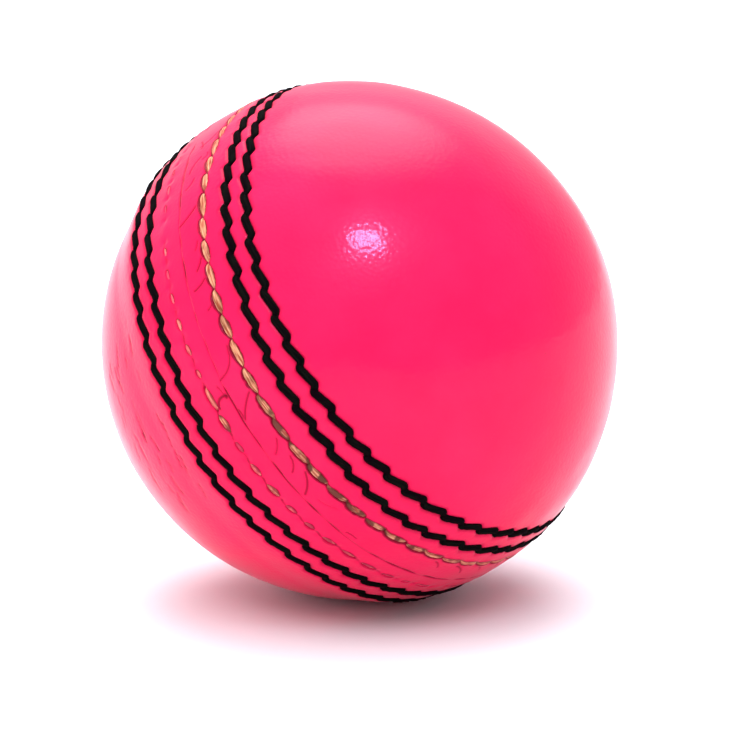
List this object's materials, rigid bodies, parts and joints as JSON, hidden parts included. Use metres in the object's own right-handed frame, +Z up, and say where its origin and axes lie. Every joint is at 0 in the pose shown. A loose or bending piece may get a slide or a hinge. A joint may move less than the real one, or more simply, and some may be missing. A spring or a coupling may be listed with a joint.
{
  "type": "cricket ball",
  "caption": "Pink two-piece leather cricket ball with a raised, hand-stitched seam in cream and black thread over a wound cork core.",
  "frame": {"origin": "centre of the ball", "axes": "+Z up as the ball lies on a level surface, +Y horizontal in the plane of the seam, and the seam's pole rises 32 degrees above +X, on the upper cup's side"},
  "size_m": [0.0714, 0.0736, 0.0716],
  "materials": {
    "pink_leather": "gloss",
    "cream_thread": "matte",
    "black_thread": "satin",
    "cork_rubber": "matte",
    "worsted_yarn": "matte",
    "cork": "matte"
  },
  "bodies": {
    "root": {"cork_rubber_core": "cork_rubber", "inner_winding": "worsted_yarn", "inner_cork_shim_1": "cork", "inner_cork_shim_2": "cork", "inner_cork_shim_3": "cork", "inner_cork_shim_4": "cork", "inner_cork_shim_5": "cork", "inner_cork_shim_6": "cork", "middle_winding": "worsted_yarn", "outer_cork_shim_1": "cork", "outer_cork_shim_2": "cork", "outer_cork_shim_3": "cork", "outer_cork_shim_4": "cork", "outer_cork_shim_5": "cork", "outer_cork_shim_6": "cork", "outer_cork_shim_7": "cork", "outer_cork_shim_8": "cork", "outer_winding": "worsted_yarn", "upper_cup": "pink_leather", "lower_cup": "pink_leather", "joining_thread_a": "cream_thread", "joining_thread_b": "cream_thread", "upper_thread_a": "black_thread", "upper_thread_b": "black_thread", "lower_thread_a": "black_thread", "lower_thread_b": "black_thread"}
  },
  "joints": []
}
